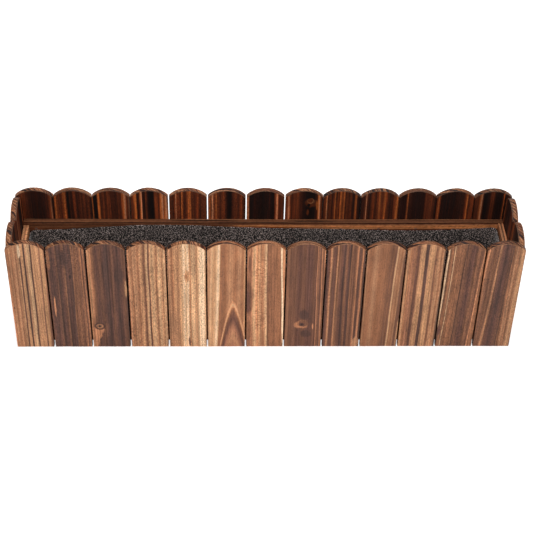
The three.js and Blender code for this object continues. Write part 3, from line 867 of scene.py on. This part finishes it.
def stapled(name, spots, turn, node=None):
    """Copies of the staple, crown outwards, at all spots of one board, as one piece."""
    copies = []
    for spot in spots:
        bpy.ops.object.select_all(action="DESELECT")
        staple.select_set(True)
        bpy.context.view_layer.objects.active = staple
        bpy.ops.object.duplicate()
        made = bpy.context.object
        made.rotation_euler = turn
        made.location = spot
        copies.append(made)
    for made in copies:
        made.select_set(True)
    bpy.ops.object.transform_apply(location=True, rotation=True, scale=True)
    bpy.ops.object.join()
    made = bpy.context.object
    made.name = name
    made.data.materials.append(steel)
    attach(made, "root")
    if node:
        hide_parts(node)


long_row = {
    side: [sum(corner[0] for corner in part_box(f"{side}_picket_{number:02d}")) / 2
           for number in range(1, 14)]
    for side in ("front", "back")
}
end_row = (-0.0388, 0.0388)
staple_height = rail_height / 2 - 0.004
for ring, foot in (("top", top_ring_foot), ("bottom", bottom_ring_foot)):
    for side, y, turn in (("front", -long_inside, math.pi), ("back", long_inside, 0)):
        spots = [(x, y, foot + staple_height) for x in long_row[side]]
        stapled(f"staples_{ring}_{side}", spots, (0, 0, turn), f"{ring}_rail_{side}")
    for side, x, turn in (("left", -end_inside, math.pi / 2), ("right", end_inside, -math.pi / 2)):
        drop = left_rail_drop if (ring, side) == ("top", "left") else 0
        spots = [(x, y, foot + staple_height - drop) for y in end_row]
        stapled(f"staples_{ring}_{side}", spots, (0, 0, turn), f"{ring}_rail_{side}")
over_end_rail, over_batten, board_middle, pair_offset = 0.4838, 0.1746, 0.0394, 0.018
for side, sign in (("front", -1), ("back", 1)):
    spots = [
        (x, sign * (board_middle + offset), board_top)
        for x in (-over_end_rail, -over_batten, over_batten, over_end_rail)
        for offset in (-pair_offset, pair_offset)
    ]
    stapled(f"staples_floor_{side}", spots, (-math.pi / 2, 0, math.pi / 2), f"floor_board_{side}")

# Liner. One piece of black non-woven felt, 1.6 mm thick, folded into a tray that hangs inside the
# top ring and lies on the floor boards. Its edge was cut by hand, so it rises and falls, and it
# is stapled to the rails a little below that edge.
liner_size, liner_centre, mean_edge = (0.9526, 0.1266, 0.144), 0.1168, 0.1888
felt_thickness, corner_radius, fold_radius = 0.0016, 0.0115, 0.005
bpy.ops.object.select_all(action="DESELECT")
bpy.ops.mesh.primitive_cube_add(size=1, location=(0, 0, liner_centre), scale=liner_size)
liner = bpy.context.object
liner.name = "felt_liner"
bpy.ops.object.transform_apply(location=True, rotation=True, scale=True)


def pick_edges(test):
    """Selects, in edit mode, the edges of the liner whose two ends pass the test."""
    bpy.ops.object.mode_set(mode="EDIT")
    bpy.ops.mesh.select_all(action="DESELECT")
    bpy.ops.mesh.select_mode(type="EDGE")
    bpy.ops.object.mode_set(mode="OBJECT")
    for edge in liner.data.edges:
        edge.select = test(*(liner.data.vertices[v].co for v in edge.vertices))
    bpy.ops.object.mode_set(mode="EDIT")


def edge_height(spot):
    """Height of the liner's edge at a spot, which is x + y: a slow wave and a quicker one."""
    slow = 0.006 * math.cos(2 * math.pi * (spot + 0.104) / 0.8)
    quick = 0.002 * math.cos(2 * math.pi * (spot + 0.177) / 0.4)
    return mean_edge + slow + quick


pick_edges(lambda a, b: abs(a.z - b.z) > 0.1)
bpy.ops.mesh.bevel(offset=corner_radius, segments=6, affect="EDGES")
pick_edges(lambda a, b: a.z < 0.05 and b.z < 0.05)
bpy.ops.mesh.bevel(offset=fold_radius, segments=4, affect="EDGES")
bpy.ops.mesh.select_mode(type="FACE")
bpy.ops.object.mode_set(mode="OBJECT")
for face in liner.data.polygons:
    face.select = face.normal.z > 0.9
bpy.ops.object.mode_set(mode="EDIT")
bpy.ops.mesh.delete(type="FACE")
cut_across(0, -0.46, 0.46, 115, first=0)
cut_across(1, -0.05, 0.05, 13, first=0)
cut_across(2, 0.052, mean_edge, 17, first=0)
bpy.ops.object.mode_set(mode="OBJECT")
end_wall, long_wall, wave_foot = 0.465, 0.055, 0.06
belly_foot, belly_height, belly_depth, fold_depth, fold_pitch = 0.046, 0.13, 0.003, 0.0012, 0.155
for point in liner.data.vertices:
    x, y, z = point.co
    rise = max(0.0, (z - wave_foot) / (mean_edge - wave_foot))
    point.co.z = z + rise ** 2 * (edge_height(x + y) - mean_edge)
    belly = math.sin(math.pi * min(1.0, max(0.0, (z - belly_foot) / belly_height))) ** 2
    push = belly * (belly_depth - fold_depth * math.cos(2 * math.pi * (x + y) / fold_pitch))
    if abs(y) > long_wall:
        point.co.y += math.copysign(push, y)
    if abs(x) > end_wall:
        point.co.x += math.copysign(push, x)
soft = bpy.data.textures.new("soft_felt", "CLOUDS")
soft.noise_scale = 0.035
lumps = liner.modifiers.new("lumps", "DISPLACE")
lumps.texture = soft
lumps.texture_coords = "GLOBAL"
lumps.strength = 0.0012
bpy.ops.object.modifier_apply(modifier="lumps")
thickness = liner.modifiers.new("thickness", "SOLIDIFY")
thickness.thickness = felt_thickness
thickness.offset = -1
bpy.ops.object.modifier_apply(modifier="thickness")
bpy.ops.object.select_all(action="DESELECT")
liner.select_set(True)
bpy.ops.object.shade_smooth_by_angle(angle=math.radians(50))

felt = bpy.data.materials.new("black_felt")
felt.use_nodes = True
tree = felt.node_tree
cloth = tree.nodes["Principled BSDF"]
where = joined(tree, "ShaderNodeTexCoord", 3)
hairs = joined(tree, "ShaderNodeTexNoise", in_0=where, in_2=520.0, in_3=0.0, in_8=0.6)
clouds = joined(tree, "ShaderNodeTexNoise", in_0=where, in_2=28.0, in_3=3.0)
mixed = tree.nodes.new("ShaderNodeValToRGB")
tree.links.new(hairs, mixed.inputs[0])
stops = mixed.color_ramp.elements
for number, (spot, grey) in enumerate(((0.44, 0.006), (0.53, 0.03), (0.6, 0.29), (0.68, 0.78))):
    stop = stops[number] if number < 2 else stops.new(spot)
    stop.position = spot
    stop.color = (grey, grey * 0.82, grey * 0.75, 1)
patchy = joined(tree, "ShaderNodeMapRange", in_0=clouds, in_1=0.3, in_2=0.7, in_3=0.75, in_4=1.2)
# Painted shade: the outer side, which lies against the wood, is darkened so that the felt seen
# in the gaps between the pickets reads black. There the normal points away from the middle.
facing = joined(tree, "ShaderNodeNewGeometry", 1)
flat_place = joined(tree, "ShaderNodeMapping", in_0=where, in_3=(1, 1, 0))
outwards = joined(tree, "ShaderNodeVectorMath", 1, operation="DOT_PRODUCT", in_0=flat_place,
                  in_1=facing)
painted_gap_shade = joined(tree, "ShaderNodeMapRange", in_0=outwards, in_1=0.01, in_2=0.04, in_3=1.0,
                in_4=0.12)
# The felt's colour is darkened by this painted shade on its outer side, where the normal points
# outwards.
patchy = joined(tree, "ShaderNodeMath", operation="MULTIPLY", in_0=patchy, in_1=painted_gap_shade)
grey = joined(tree, "ShaderNodeCombineColor", in_0=patchy, in_1=patchy, in_2=patchy)
tree.links.new(
    joined(tree, "ShaderNodeMix", 2, data_type="RGBA", blend_type="MULTIPLY", in_0=1.0,
           in_6=mixed.outputs[0], in_7=grey),
    cloth.inputs["Base Color"],
)
tree.links.new(
    joined(tree, "ShaderNodeBump", in_0=0.8, in_1=0.0008, in_3=hairs), cloth.inputs["Normal"]
)
cloth.inputs["Roughness"].default_value = 0.95
cloth.inputs["Sheen Weight"].default_value = 0.25
cloth.inputs["Specular IOR Level"].default_value = 0.2
liner.data.materials.append(felt)
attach(liner, "root")
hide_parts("liner")
staple_drop = 0.006
liner_spots = (
    ("back", 0, [(x, 0.0612) for x in (-0.42, -0.27, -0.12, 0.03, 0.18, 0.33, 0.45)]),
    ("front", math.pi, [(x, -0.0612) for x in (-0.45, -0.3, -0.15, 0.0, 0.15, 0.3, 0.44)]),
    ("left", math.pi / 2, [(-0.4742, -0.02)]),
    ("right", -math.pi / 2, [(0.4742, 0.02)]),
)
for side, turn, places in liner_spots:
    spots = [(x, y, edge_height(x + y) - staple_drop) for x, y in places]
    stapled(f"staples_liner_{side}", spots, (0, 0, turn))
bpy.data.objects.remove(staple)
